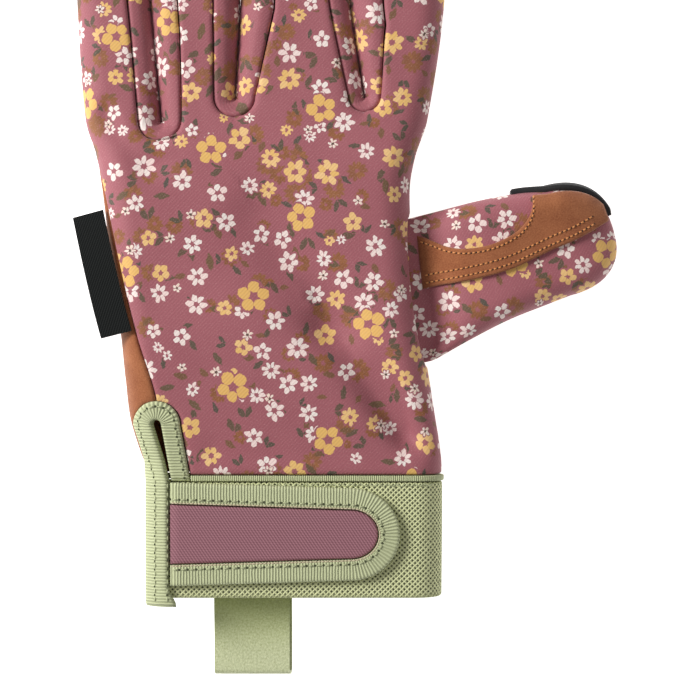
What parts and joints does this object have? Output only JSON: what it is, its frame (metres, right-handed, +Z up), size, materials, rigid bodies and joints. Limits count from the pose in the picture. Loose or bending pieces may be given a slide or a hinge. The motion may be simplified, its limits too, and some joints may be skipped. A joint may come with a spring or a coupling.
{
  "type": "gardening glove",
  "caption": "Left gardening glove lying palm down: printed stretch back, suede palm and thumb patch, elastic cuff with a closing strap, side label and pull loop.",
  "frame": {"origin": "on the flat underside of the palm, in the middle of the hand", "axes": "+X towards the thumb, +Y along the fingers, +Z up through the back of the hand"},
  "size_m": [0.1576, 0.244, 0.0181],
  "materials": {
    "floral_fabric": "smooth stretch jersey with a small flower print",
    "suede": "brushed suede",
    "edge_guard": "black, matt",
    "elastic_mesh": "open elastic mesh",
    "ribbed_binding": "ribbed woven tape",
    "woven_inset": "fine twill tape",
    "woven_label": "dense black weave",
    "brushed_ribbon": "brushed ribbon"
  },
  "bodies": {
    "root": {"back_panel": "floral_fabric", "palm_panel": "suede", "gusset_little_ring": "floral_fabric", "gusset_ring_middle": "floral_fabric", "gusset_middle_index": "floral_fabric", "thumb_back": "floral_fabric", "thumb_palm": "suede", "thumb_patch": "suede", "thumb_edge": "edge_guard", "wrist_cuff": "elastic_mesh", "cuff_trim": "ribbed_binding", "vent_binding": "ribbed_binding", "strap_panel": "woven_inset", "strap_binding": "ribbed_binding", "side_label": "woven_label", "pull_loop": "brushed_ribbon"}
  },
  "joints": []
}
